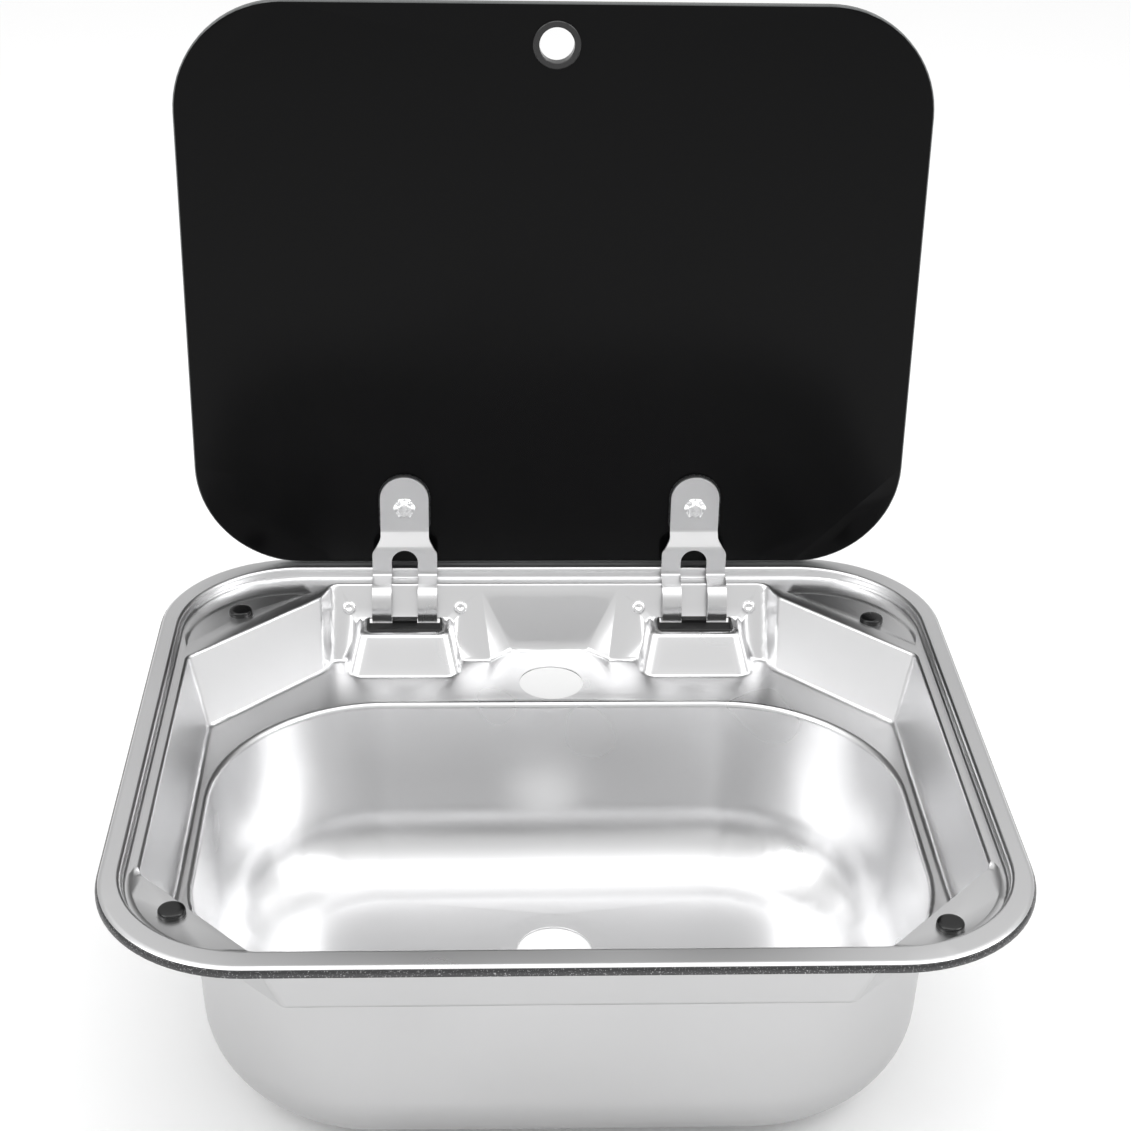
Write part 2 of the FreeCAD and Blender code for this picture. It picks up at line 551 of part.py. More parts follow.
def hinge_arm(centre_x):
    points, radii = arm_path()
    strip = ribbon(points, radii, ARM_SHEET, 2 * ARM_HALF)
    strip = strip.common(placed(arm_outline(), lid_frame()))
    pin = hinge_axis()
    barrel = disc(KNUCKLE_RADIUS, Vec(-ARM_HALF, pin.y, pin.z), 2 * ARM_HALF, X_AXIS)
    bore = disc(PIN_RADIUS + PIN_PLAY, Vec(-ARM_HALF - 1, pin.y, pin.z), 2 * ARM_HALF + 2, X_AXIS)
    arm = strip.fuse(barrel).cut([bore, placed(arch(), lid_frame())])
    hole = disc(SCREW_RADIUS + SCREW_FIT, Vec(0, -20, SCREW_H), 40, Y_AXIS)
    arm = arm.cut(placed(hole, lid_frame())).removeSplitter()
    arm.translate(Vec(centre_x, 0, 0))
    return arm


def arm_gasket(centre_x):
    half = TAB_HALF + GASKET_SHOWS
    low, high = JOGGLE_TOP_H + 1.5, TAB_CENTRE_H + half
    outline = [(-half, low), (half, low), (half, high), (-half, high)]
    radii = [2.0, 2.0, half - 0.05, half - 0.05]
    pad = Part.Face(rounded_wire(outline, radii, upright)).extrude(Y_AXIS * -GASKET)
    pad = pad.cut(disc(SCREW_RADIUS + SCREW_FIT, Vec(0, -10, SCREW_H), 20, Y_AXIS))
    return placed(pad, lid_frame(centre_x))


def on_both_screws(make):
    """The same piece at both arms, as one group."""
    return Part.makeCompound([placed(make(), lid_frame(x)) for x in (-HINGE_X, HINGE_X)])


def front_of_arm():
    return -GASKET - ARM_SHEET


def star_washer():
    """Lock washer with domed lobes round its rim."""
    face = front_of_arm()
    waist = STAR_RADIUS - math.sqrt(LOBE_RADIUS ** 2 - LOBE_SINK ** 2)
    washer = disc(waist, Vec(0, face - STAR_THICK, SCREW_H), STAR_THICK, Y_AXIS)
    lobes = []
    for i in range(STAR_LOBES):
        angle = 2 * math.pi * (i + 0.5) / STAR_LOBES
        centre = Vec(waist * math.cos(angle), face + LOBE_SINK, SCREW_H + waist * math.sin(angle))
        lobes.append(Part.makeSphere(LOBE_RADIUS, centre))
    behind = Part.makeBox(30, 30, 30, Vec(-15, face, SCREW_H - 15))
    bore = disc(SCREW_RADIUS + SCREW_FIT, Vec(0, face - 5, SCREW_H), 10, Y_AXIS)
    seat = disc(HEAD_RADIUS + SCREW_FIT, Vec(0, face - STAR_THICK - 5, SCREW_H), 5, Y_AXIS)
    return washer.fuse(lobes).cut([behind, bore, seat]).removeSplitter()


def hexagon(radius, start, length):
    """Hexagonal prism along Y, centred on the screw's line, with a corner upwards."""
    corners = []
    for i in range(6):
        angle = math.pi / 6 + math.pi * i / 3
        corners.append(Vec(radius * math.cos(angle), start, SCREW_H + radius * math.sin(angle)))
    return Part.Face(Part.makePolygon(corners + corners[:1])).extrude(Y_AXIS * length)


def nut_seat():
    return GLASS + WASHER_THICK


def lid_screw():
    """Hexagon head, dimpled as cold forming leaves it, and a shank that ends inside the cap nut."""
    seat = front_of_arm() - STAR_THICK
    front = seat - HEAD_HEIGHT
    rim = Part.makeCone(HEAD_RADIUS - HEAD_CHAMFER, HEAD_RADIUS + HEAD_HEIGHT, HEAD_HEIGHT + HEAD_CHAMFER,
                        Vec(0, front, SCREW_H), Y_AXIS)
    head = hexagon(HEAD_RADIUS, front, HEAD_HEIGHT).common(rim)
    head = head.cut(disc(DIMPLE_RADIUS, Vec(0, front - 1, SCREW_H), DIMPLE_DEPTH + 1, Y_AXIS))
    shank = disc(SCREW_RADIUS, Vec(0, seat, SCREW_H), nut_seat() + NUT_HEIGHT - seat, Y_AXIS)
    return head.fuse(shank).removeSplitter()


def glass_bush():
    inner, outer = SCREW_RADIUS + SCREW_FIT, BUSH_RADIUS
    return lid_ring([(inner, 0), (outer, 0), (outer, GLASS), (inner, GLASS)], 0, SCREW_H)


def outer_washer():
    inner = SCREW_RADIUS + SCREW_FIT
    back = nut_seat()
    return lid_ring([(inner, GLASS), (WASHER_RADIUS, GLASS), (WASHER_RADIUS, back - 0.4),
                     (WASHER_RADIUS - 0.4, back), (inner, back)], 0, SCREW_H)


def cap_nut():
    seat = nut_seat()
    body = hexagon(NUT_RADIUS, seat, NUT_HEIGHT)
    dome = Part.makeSphere(NUT_DOME, Vec(0, seat + NUT_HEIGHT - 0.3, SCREW_H))
    room = Part.makeBox(20, 20, 20, Vec(-10, seat + NUT_HEIGHT - 0.3, SCREW_H - 10))
    bore = disc(SCREW_RADIUS, Vec(0, seat - 1, SCREW_H), NUT_HEIGHT + 1.5, Y_AXIS)
    return body.fuse(dome.common(room)).cut(bore).removeSplitter()


def pin_depth():
    """How far the pin's centre lies behind the front of the rear wall."""
    pin = hinge_axis()
    return -wall_frame(0).inverse().multVec(Vec(0, pin.y, pin.z)).z


def hinge_bracket(centre_x):
    """Riveted plate with two ears for the pin and a bar that stops the open lid."""
    back, depth = -SHEET - BRACKET, pin_depth()
    plate = block([(-BRACKET_HALF, BRACKET_FOOT), (BRACKET_HALF, BRACKET_FOOT),
                   (BRACKET_HALF, BRACKET_TOP), (-BRACKET_HALF, BRACKET_TOP)],
                  [3.0] * 4, back, -SHEET)
    window = Part.makeBox(2 * EAR_INNER, 30, 6, Vec(-EAR_INNER, WINDOW_TOP - 30, -4))
    plate = plate.cut(window)
    ear_points = [(KNUCKLE_RADIUS + 1.0, -SHEET), (KNUCKLE_RADIUS + 1.0, -depth - 3.8),
                  (-4.0, -depth - 3.8), (BRACKET_FOOT, -depth - 1.8), (BRACKET_FOOT, -SHEET)]
    pieces = []
    for left in (-EAR_INNER - EAR_THICK, EAR_INNER):
        wire = rounded_wire(ear_points, [0, 3.0, 1.5, 1.0, 0], lambda u, v: Vec(left, u, v))
        pieces.append(Part.Face(wire).extrude(Vec(EAR_THICK, 0, 0)))
    bracket = placed(plate.fuse(pieces), wall_frame(0)).fuse(stop_bar())
    pin = hinge_axis()
    holes = [disc(PIN_RADIUS, Vec(-40, pin.y, pin.z), 80, X_AXIS)]
    for x in (-RIVET_X, RIVET_X):
        holes.append(placed(disc(RIVET_SHANK, Vec(x, RIVET_RISE, -5), 10, Z_AXIS), wall_frame(0)))
    bracket = bracket.cut(holes).removeSplitter()
    bracket.translate(Vec(centre_x, 0, 0))
    return bracket


def stop_bar():
    """Cross bar between the ears; the open arm's web comes to rest beside it."""
    pin, tail = hinge_axis(), arm_path()[0][5]
    web = Vec(0, tail[0] - pin.y, tail[1] - pin.z).normalize()
    ahead = Vec(0, web.z, -web.y)
    if ahead.y > 0:
        ahead = ahead * -1.0
    face = ahead * (ARM_SHEET / 2.0 + STOP_GAP)
    corners = [web * STOP_LOW + face, web * STOP_HIGH + face,
               web * STOP_HIGH + face + ahead * STOP_THICK, web * STOP_LOW + face + ahead * STOP_THICK]
    points = [Vec(-EAR_INNER, pin.y + c.y, pin.z + c.z) for c in corners]
    return Part.Face(Part.makePolygon(points + points[:1])).extrude(Vec(2 * EAR_INNER, 0, 0))


def pin_ring(inner, outer, start, end):
    """Ring about the pin between two places along it."""
    pin = hinge_axis()
    ring = disc(outer, Vec(start, pin.y, pin.z), end - start, X_AXIS)
    return ring.cut(disc(inner, Vec(start - 1, pin.y, pin.z), end - start + 2, X_AXIS))


def ear_outer():
    return EAR_INNER + EAR_THICK


def hinge_pin():
    pin, end = hinge_axis(), ear_outer()
    rod = disc(PIN_RADIUS, Vec(-end, pin.y, pin.z), 2 * end + CLIP_THICK + PIN_TAIL, X_AXIS)
    head = disc(PIN_HEAD, Vec(-end - PIN_HEAD_THICK, pin.y, pin.z), PIN_HEAD_THICK, X_AXIS)
    rim = [edge for edge in head.Edges if edge.BoundBox.XMax < -end - PIN_HEAD_THICK + 0.01]
    head = head.makeFillet(PIN_HEAD_THICK * 0.6, rim)
    groove = pin_ring(CLIP_GROOVE, PIN_RADIUS + 1.0, end, end + CLIP_THICK)
    return rod.fuse(head).cut(groove).removeSplitter()


def pin_clip():
    """Open ring snapped into the pin's groove."""
    pin, start = hinge_axis(), ear_outer()
    ring = pin_ring(CLIP_GROOVE, CLIP_RADIUS, start, start + CLIP_THICK)
    gap = Part.makeBox(4, 2 * CLIP_GROOVE * 0.8, 10, Vec(start - 1, pin.y - CLIP_GROOVE * 0.8, pin.z - 10))
    return ring.cut(gap)


def spacer_sleeve():
    half = ARCH_HALF - SLEEVE_PLAY
    return pin_ring(PIN_RADIUS, SLEEVE_RADIUS, -half, half)


def friction_washers():
    """One each side, between a leg and its ear."""
    start, end = ARM_HALF + SLEEVE_PLAY, EAR_INNER
    return [pin_ring(PIN_RADIUS, KNUCKLE_RADIUS, start, end),
            pin_ring(PIN_RADIUS, KNUCKLE_RADIUS, -end, -start)]


def at_both_hinges(shapes):
    """Copies of hinge pieces at both hinges, as one group."""
    copies = []
    for centre_x in (-HINGE_X, HINGE_X):
        for shape in shapes:
            copy = shape.copy()
            copy.translate(Vec(centre_x, 0, 0))
            copies.append(copy)
    return Part.makeCompound(copies)


def rivet():
    """Domed rivet with a hollow in its head, set through the wall and the bracket."""
    back = -SHEET - BRACKET
    dome = Part.Arc(Vec(RIVET_HEAD, 0, 0), Vec(RIVET_HEAD * 0.72, 0, RIVET_HEIGHT * 0.75),
                    Vec(1.3, 0, RIVET_HEIGHT)).toShape()
    line = [Vec(1.3, 0, RIVET_HEIGHT), Vec(0.9, 0, RIVET_HEIGHT - 0.9), Vec(0, 0, RIVET_HEIGHT - 0.9),
            Vec(0, 0, back - 1.0), Vec(2.4, 0, back - 1.0), Vec(2.8, 0, back), Vec(RIVET_SHANK, 0, back),
            Vec(RIVET_SHANK, 0, 0), Vec(RIVET_HEAD, 0, 0)]
    wire = Part.Wire([dome] + Part.makePolygon(line).Edges)
    return Part.Face(wire).revolve(Vec(0, 0, 0), Z_AXIS, 360)


def bracket_rivets():
    rivets = []
    for centre_x in (-HINGE_X, HINGE_X):
        for x in (-RIVET_X, RIVET_X):
            one = rivet()
            one.translate(Vec(x, RIVET_RISE, 0))
            rivets.append(placed(one, wall_frame(centre_x)))
    return Part.makeCompound(rivets)


def leg_front(drop):
    """Where the front of the legs passes this far below the hood's top, in the hood's frame."""
    pin = hinge_axis()
    local = hood_frame(0).inverse().multVec(Vec(0, pin.y, pin.z))
    reach = GOOSE_RADIUS + ARM_SHEET / 2.0
    return local.y - math.sqrt(reach ** 2 - (local.z + drop) ** 2)


def slot_liner(centre_x):
    """Plastic frame in the hood's slot, with a shelf before the legs and a block between them."""
    middle = -SLOT_LENGTH / 2.0 - 0.3
    outer = block(rectangle(2 * (SLOT_HALF - LINER_FIT), SLOT_LENGTH - 2 * LINER_FIT, middle),
                  [SLOT_CORNER] * 4, -LINER_DEPTH, LINER_PROUD)
    flange_depth = SLOT_LENGTH + LINER_FLANGE - 3.0
    flange = block(rectangle(2 * (SLOT_HALF + LINER_FLANGE), flange_depth, middle - 1.5 - LINER_FLANGE / 2.0),
                   [SLOT_CORNER] * 4, -SHEET - LINER_FLANGE_THICK, -SHEET)
    inner_front = -SLOT_LENGTH - 0.3 + LINER_FIT + LINER_WALL
    hollow_half = SLOT_HALF - LINER_FIT - LINER_WALL
    hollow = Part.makeBox(2 * hollow_half, 20, 20, Vec(-hollow_half, inner_front, -12))
    frame = outer.fuse(flange).cut(hollow)
    back = -0.3 - LINER_FIT
    bar = Part.makeBox(2 * LINER_BLOCK_HALF, LINER_BLOCK_LENGTH, LINER_DEPTH + LINER_PROUD,
                       Vec(-LINER_BLOCK_HALF, back - LINER_BLOCK_LENGTH, -LINER_DEPTH))
    shelf_start = inner_front - LINER_WALL / 2.0
    shelf_length = leg_front(LINER_SHELF_DROP) - LEG_PLAY - shelf_start
    shelf = Part.makeBox(2 * hollow_half + LINER_WALL, shelf_length, LINER_WALL,
                         Vec(-hollow_half - LINER_WALL / 2.0, shelf_start, -LINER_SHELF_DROP - LINER_WALL))
    tongue = Part.makeBox(2 * LINER_BLOCK_HALF, back - shelf_start, LINER_WALL,
                          Vec(-LINER_BLOCK_HALF, shelf_start, -LINER_DEPTH))
    return placed(frame.fuse([shelf, bar, tongue]).removeSplitter(), hood_frame(centre_x))


def bumper(x, y):
    """Round buffer with a push-in stem."""
    seat, top = z_at(POCKET_DROP + PLATFORM_DEPTH), z_at(POCKET_DROP + PLATFORM_DEPTH) + BUMPER_HEIGHT
    body = disc(BUMPER_RADIUS, Vec(0, 0, seat), BUMPER_HEIGHT, Z_AXIS)
    body = body.makeFillet(BUMPER_ROUND, [edge for edge in body.Edges if edge.BoundBox.ZMin > top - 0.01])
    under = seat - SHEET
    stem = turned([(0, seat), (BUMPER_STEM, seat), (BUMPER_STEM, under), (BUMPER_STEM + 0.9, under),
                   (BUMPER_STEM - 0.6, under - 3.0), (0, under - 3.0)])
    whole = body.fuse(stem).removeSplitter()
    whole.translate(Vec(x, y, 0))
    return whole


def pieces():
    """Every sub-part by name."""
    made = {"sink_shell": sink_shell(), "glass_lid": glass_lid(), "finger_grommet": finger_grommet()}
    for side, centre_x in (("left", -HINGE_X), ("right", HINGE_X)):
        made["hinge_arm_" + side] = hinge_arm(centre_x)
        made["arm_gasket_" + side] = arm_gasket(centre_x)
        made["hinge_bracket_" + side] = hinge_bracket(centre_x)
        made["slot_liner_" + side] = slot_liner(centre_x)
    made["star_washers"] = on_both_screws(star_washer)
    made["lid_screws"] = on_both_screws(lid_screw)
    made["glass_bushes"] = on_both_screws(glass_bush)
    made["outer_washers"] = on_both_screws(outer_washer)
    made["cap_nuts"] = on_both_screws(cap_nut)
    made["hinge_pins"] = at_both_hinges([hinge_pin()])
    made["pin_clips"] = at_both_hinges([pin_clip()])
    made["spacer_sleeves"] = at_both_hinges([spacer_sleeve()])
    made["friction_washers"] = at_both_hinges(friction_washers())
    made["bracket_rivets"] = bracket_rivets()
    for name, (x, y) in BUMPERS.items():
        made[name] = bumper(x, y)
    return made


def main():
    os.makedirs("parts", exist_ok=True)
    pin = hinge_axis()
    print("hinge axis y %.3f z %.3f" % (pin.y, pin.z))
    for name, shape in pieces().items():
        shape.exportStep(os.path.join("parts", name + ".step"))
        state = "valid" if shape.isValid() else "NOT VALID"
        print("%-20s %d solids, %.1f mm3, %s" % (name, len(shape.Solids), shape.Volume, state))


main()
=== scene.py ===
# %% [markdown]
# # A built-in sink with a dark glass lid
#
# The object is a small rectangular sink, pressed from one sheet of stainless steel, with a
# tempered glass lid that stands open on two steel arms.  The solids were modelled beforehand and
# arrive here as a frame: every piece already has its true place and size.  This lesson gives each
# of them its finish, sets up a camera and a plain studio, and explains the choices on the way.

# %% Bring in the frame
import bpy
import bmesh
import json
import math
from mathutils import Matrix, Vector


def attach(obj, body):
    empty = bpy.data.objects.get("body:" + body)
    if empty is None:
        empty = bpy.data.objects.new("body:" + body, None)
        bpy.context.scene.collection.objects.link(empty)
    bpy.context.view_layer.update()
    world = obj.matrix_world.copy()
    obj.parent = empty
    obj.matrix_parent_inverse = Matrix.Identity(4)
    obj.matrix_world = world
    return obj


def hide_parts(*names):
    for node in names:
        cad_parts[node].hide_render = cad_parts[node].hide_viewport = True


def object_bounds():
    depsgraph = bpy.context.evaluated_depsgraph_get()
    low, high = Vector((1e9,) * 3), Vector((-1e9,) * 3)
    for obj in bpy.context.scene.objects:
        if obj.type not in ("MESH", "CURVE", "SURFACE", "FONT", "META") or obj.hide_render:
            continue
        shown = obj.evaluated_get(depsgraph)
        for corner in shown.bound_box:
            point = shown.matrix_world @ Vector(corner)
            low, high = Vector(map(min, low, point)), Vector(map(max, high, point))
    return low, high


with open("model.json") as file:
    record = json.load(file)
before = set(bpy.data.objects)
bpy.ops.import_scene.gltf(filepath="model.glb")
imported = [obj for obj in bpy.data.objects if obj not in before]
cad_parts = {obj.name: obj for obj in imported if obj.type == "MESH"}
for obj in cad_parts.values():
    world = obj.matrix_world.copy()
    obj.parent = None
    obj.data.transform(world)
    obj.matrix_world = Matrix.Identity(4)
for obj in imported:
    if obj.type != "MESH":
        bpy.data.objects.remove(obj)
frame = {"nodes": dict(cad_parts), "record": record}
cad_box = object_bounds()
scene = bpy.context.scene

# %% [markdown]
# ## The camera
#
# The photograph was taken from a little left of the middle, looking down by 28 degrees with a
# long lens, so the glass lid and the bowl are both in view with gentle perspective.  The camera is
# described by its place, the three turns a photographer would make, and its focal length.

# %% Place the camera
CAMERA_PLACE = Vector((-0.0420, -0.9150, 0.5835))
CAMERA_YAW, CAMERA_PITCH, CAMERA_ROLL = 0.0470, 0.4884, -0.0211
SENSOR_WIDTH, FOCAL_LENGTH = 36.0, 69.71


def camera_turn(yaw, pitch, roll):
    """Rotation whose -Z looks along the view and whose Y is the picture's upward direction."""
    ahead = Vector((math.sin(yaw) * math.cos(pitch), math.cos(yaw) * math.cos(pitch),
                    -math.sin(pitch)))
    level = Vector((math.cos(yaw), -math.sin(yaw), 0.0))
    down = ahead.cross(level)
    right = math.cos(roll) * level + math.sin(roll) * down
    down = -math.sin(roll) * level + math.cos(roll) * down
    return Matrix((right, -down, -ahead)).transposed().to_4x4()


camera_data = bpy.data.cameras.new("camera")
camera_data.sensor_width = SENSOR_WIDTH
camera_data.lens = FOCAL_LENGTH
camera = bpy.data.objects.new("camera", camera_data)
scene.collection.objects.link(camera)
turn = camera_turn(CAMERA_YAW, CAMERA_PITCH, CAMERA_ROLL)
camera.matrix_world = Matrix.Translation(CAMERA_PLACE) @ turn
scene.camera = camera
scene.view_settings.view_transform = "Standard"
print("camera looks down by", round(math.degrees(CAMERA_PITCH), 1), "degrees")

# %% [markdown]
# ## Helpers for materials
#
# Every finish below is a Principled shader with a few nodes for what varies over the surface.
# Constant values go straight onto the shader's sockets, and patterns read Object coordinates,
# which are metres here, so a scale of 500 means detail about 2 mm across.

# %% Material helpers
EVEN = (1.0, 1.0, 1.0)


def new_finish(name, **values):
    """A material with its Principled shader, whose constant sockets are set by name."""
    material = bpy.data.materials.new(name)
    material.use_nodes = True
    shader = material.node_tree.nodes["Principled BSDF"]
    for socket, value in values.items():
        shader.inputs[socket.replace("_", " ")].default_value = value
    return material, material.node_tree.nodes, material.node_tree.links, shader


def stretched_noise(nodes, links, stretch, scale, detail=3.0, roughness=0.5):
    """Noise on Object coordinates, drawn out by a Mapping node."""
    place = nodes.new("ShaderNodeTexCoord")
    mapping = nodes.new("ShaderNodeMapping")
    mapping.inputs["Scale"].default_value = stretch
    noise = nodes.new("ShaderNodeTexNoise")
    noise.inputs["Scale"].default_value = scale
    noise.inputs["Detail"].default_value = detail
    noise.inputs["Roughness"].default_value = roughness
    links.new(place.outputs["Object"], mapping.inputs["Vector"])
    links.new(mapping.outputs["Vector"], noise.inputs["Vector"])
    return noise.outputs["Fac"]


def spread(nodes, links, value, low, high, from_low=0.3, from_high=0.7):
    """Map a value between from_low and from_high onto the range low to high."""
    span = nodes.new("ShaderNodeMapRange")
    span.inputs["From Min"].default_value = from_low
    span.inputs["From Max"].default_value = from_high
    span.inputs["To Min"].default_value = low
    span.inputs["To Max"].default_value = high
    links.new(value, span.inputs["Value"])
    return span.outputs["Result"]


def bumped(nodes, links, shader, height, strength, distance):
    """Drive the shader's normal with a height."""
    bump = nodes.new("ShaderNodeBump")
    bump.inputs["Strength"].default_value = strength
    bump.inputs["Distance"].default_value = distance
    links.new(height, bump.inputs["Height"])
    links.new(bump.outputs["Normal"], shader.inputs["Normal"])


# %% [markdown]
# ## Stainless steel
#
# A pressed sink leaves the tool with a soft satin shine: highlights keep their place but their
# edges blur.  The drawing of the sheet makes that blur vary a little from one region to the next,
# so the roughness follows one broad noise, and a bump of a few micrometres, drawn out along the
# sheet's rolling direction, breaks up long reflections.  The underside is duller and greyer,
# because it isn't polished after pressing.

# %% Steel finishes
REGION_SCALE, GRAIN_SCALE = 11.0, 120.0
ROLLING_STRETCH = (1.0, 7.0, 7.0)
GRAIN_HEIGHT = 0.00001


def steel_finish(name, tone, smooth, rough, grain):
    """Satin steel of a given tone, with its roughness between smooth and rough."""
    material, nodes, links, shader = new_finish(
        name, Base_Color=(tone, tone, tone * 1.006, 1.0), Metallic=1.0)
    regions = stretched_noise(nodes, links, EVEN, REGION_SCALE, detail=1.0)
    links.new(spread(nodes, links, regions, smooth, rough), shader.inputs["Roughness"])
    grain_pattern = stretched_noise(nodes, links, ROLLING_STRETCH, GRAIN_SCALE, detail=2.0)
    bumped(nodes, links, shader, grain_pattern, grain, GRAIN_HEIGHT)
    return material


PRESSED_STEEL = steel_finish("pressed_stainless", 0.85, 0.27, 0.34, 0.12)
OUTER_STEEL = steel_finish("unpolished_stainless", 0.56, 0.42, 0.50, 0.5)
ARM_STEEL = steel_finish("arm_stainless", 0.76, 0.26, 0.33, 0.2)
PLATED_STEEL = steel_finish("plated_steel", 0.92, 0.14, 0.22, 0.1)
STEELS = (PRESSED_STEEL, OUTER_STEEL, ARM_STEEL, PLATED_STEEL)
print("steel finishes:", [finish.name for finish in STEELS])

# %% [markdown]
# ## Hammered heads
#
# Rivets are closed by a hammer die, and a lock washer bites when its screw is tightened, so their
# bright plating ends up crumpled.  Dents about a millimetre wide catch the lamps one by one,
# which is why such small parts sparkle.  A cell pattern gives the dents: each cell is lowest at
# its middle, and the same pattern makes the ridges between the cells a little duller.

# %% Crumpled plating
DENT_SCALE, DENT_HEIGHT = 1100.0, 0.00012


def crumpled_finish():
    """Bright plating with small dents."""
    material, nodes, links, shader = new_finish(
        "crumpled_plating", Base_Color=(0.95, 0.95, 0.955, 1.0), Metallic=1.0)
    place = nodes.new("ShaderNodeTexCoord")
    cells = nodes.new("ShaderNodeTexVoronoi")
    cells.inputs["Scale"].default_value = DENT_SCALE
    links.new(place.outputs["Object"], cells.inputs["Vector"])
    links.new(spread(nodes, links, cells.outputs["Distance"], 0.16, 0.26, 0.0, 1.0),
              shader.inputs["Roughness"])
    bumped(nodes, links, shader, cells.outputs["Distance"], 0.6, DENT_HEIGHT)
    return material


CRUMPLED_STEEL = crumpled_finish()
print("dents about", round(1000.0 / DENT_SCALE, 1), "mm wide")

# %% [markdown]
# ## The lip's painted shade
#
# The lowest band of the outer lip gets a dark colour painted on, which is painted shade.  A fine
# noise chooses between the dark colour and small lighter speckles.

# %% Lip with painted shade
SPECKLE_SCALE = 1500.0
# The dark lip colour is painted shade, and the lighter colour makes the speckles.
LIP_SHADE_COLOUR, LIP_SPECKLE_COLOUR = (0.085, 0.085, 0.087, 1.0), (0.62, 0.62, 0.62, 1.0)
SHADE_BELOW, SPECKLE_ABOVE = 0.58, 0.80


def painted_lip_shade():
    """Dark painted shade on the lip, with small lighter speckles."""
    material, nodes, links, shader = new_finish("lip_band_painted_shade", Metallic=1.0)
    speckle = stretched_noise(nodes, links, EVEN, SPECKLE_SCALE, detail=2.0)
    ramp = nodes.new("ShaderNodeValToRGB")
    shade_stop, bright = ramp.color_ramp.elements
    shade_stop.position, bright.position = SHADE_BELOW, SPECKLE_ABOVE
    shade_stop.color, bright.color = LIP_SHADE_COLOUR, LIP_SPECKLE_COLOUR
    links.new(speckle, ramp.inputs["Fac"])
    links.new(ramp.outputs["Color"], shader.inputs["Base Color"])
    links.new(spread(nodes, links, speckle, 0.30, 0.50), shader.inputs["Roughness"])
    bumped(nodes, links, shader, speckle, 0.5, GRAIN_HEIGHT)
    return material


# The lip's dark colour is painted shade.
LIP_PAINTED_SHADE = painted_lip_shade()
print("lip finish:", LIP_PAINTED_SHADE.name)

# %% [markdown]
# ## Dark glass
#
# The lid is black-backed safety glass: it lets nothing through, and its polished face gives a
# faint mirror image of the room.  Its ground edge is paler and dull.  A tiny unevenness in the
# face, only micrometres high, keeps the reflections from looking computed.

# %% Glass finishes
GLASS_IOR = 1.5
RIPPLE_SCALE, RIPPLE_HEIGHT = 9.0, 0.0003
GRIT_SCALE, GRIT_HEIGHT = 900.0, 0.00004


def dark_glass():
    """Polished face of the black-backed glass."""
    material, nodes, links, shader = new_finish(
        "dark_glass", Base_Color=(0.0022, 0.0022, 0.0024, 1.0), IOR=GLASS_IOR,
        Specular_IOR_Level=0.11)
    ripple = stretched_noise(nodes, links, EVEN, RIPPLE_SCALE, detail=1.0)
    links.new(spread(nodes, links, ripple, 0.16, 0.24), shader.inputs["Roughness"])
    bumped(nodes, links, shader, ripple, 0.15, RIPPLE_HEIGHT)
    return material


def ground_edge():
    """Dull bevel all round the glass and inside its holes."""
    material, nodes, links, shader = new_finish(
        "ground_glass_edge", Base_Color=(0.10, 0.105, 0.105, 1.0), IOR=GLASS_IOR)
    grit = stretched_noise(nodes, links, EVEN, GRIT_SCALE)
    links.new(spread(nodes, links, grit, 0.25, 0.45), shader.inputs["Roughness"])
    bumped(nodes, links, shader, grit, 0.3, GRIT_HEIGHT)
    return material


DARK_GLASS, GLASS_EDGE = dark_glass(), ground_edge()
print("glass finishes:", DARK_GLASS.name, GLASS_EDGE.name)

# %% [markdown]
# ## Rubber and plastic
#
# The bumpers are moulded rubber that came glossy from a polished mould.  The gaskets and the
# finger-hole ring are black too but a little duller, and the liners in the hinge slots are matt
# plastic with a fine moulded grain.

# %% Rubber and plastic finishes
MOULDED_IOR = 1.5


def moulded_finish(name, tone, smooth, rough, scale, height):
    """Black moulded material whose grain has the given scale and height."""
    material, nodes, links, shader = new_finish(
        name, Base_Color=(tone, tone, tone * 1.03, 1.0), IOR=MOULDED_IOR)
    grain = stretched_noise(nodes, links, EVEN, scale)
    links.new(spread(nodes, links, grain, smooth, rough), shader.inputs["Roughness"])
    bumped(nodes, links, shader, grain, 0.4, height)
    return material


BUMPER_RUBBER = moulded_finish("bumper_rubber", 0.006, 0.16, 0.24, 700.0, 0.000008)
BLACK_RUBBER = moulded_finish("black_rubber", 0.012, 0.22, 0.34, 700.0, 0.00002)
BLACK_PLASTIC = moulded_finish("black_plastic", 0.014, 0.18, 0.28, 900.0, 0.00001)
LINER_PLASTIC = moulded_finish("liner_plastic", 0.010, 0.38, 0.52, 1400.0, 0.00003)
MOULDED = (BUMPER_RUBBER, BLACK_RUBBER, BLACK_PLASTIC, LINER_PLASTIC)
print("moulded finishes:", [finish.name for finish in MOULDED])

# %% [markdown]
# ## From loose triangles to smooth sheet metal
#
# A solid arrives as loose flat triangles, and polished steel would show every one of them.  A
# merged copy fixes that: shared corners can carry averaged normals, real creases stay sharp by
# their angle, and a Weighted Normal modifier lets the large flat faces rule their neighbours,
# as they do in pressed metal.  The copy stands in for the solid and rides on its body.

# %% A finished copy of a solid
MERGE_DISTANCE = 1.0e-6
FLAT_FACE_WEIGHT = 80
CREASE_DEGREES = 28.0
body_of_node = {node: body for body, members in frame["record"]["behaviour"]["bodies"].items()
                for node in members}


def merged_copy(node, name):
    """A copy of a solid's mesh with its loose triangles joined."""
    mesh = frame["nodes"][node].data.copy()
    mesh.name = name
    mesh.materials.clear()
    work = bmesh.new()
    work.from_mesh(mesh)
    bmesh.ops.remove_doubles(work, verts=work.verts, dist=MERGE_DISTANCE)
    bmesh.ops.dissolve_degenerate(work, edges=work.edges, dist=MERGE_DISTANCE)
    work.to_mesh(mesh)
    work.free()
    piece = bpy.data.objects.new(name, mesh)
    scene.collection.objects.link(piece)
    return piece


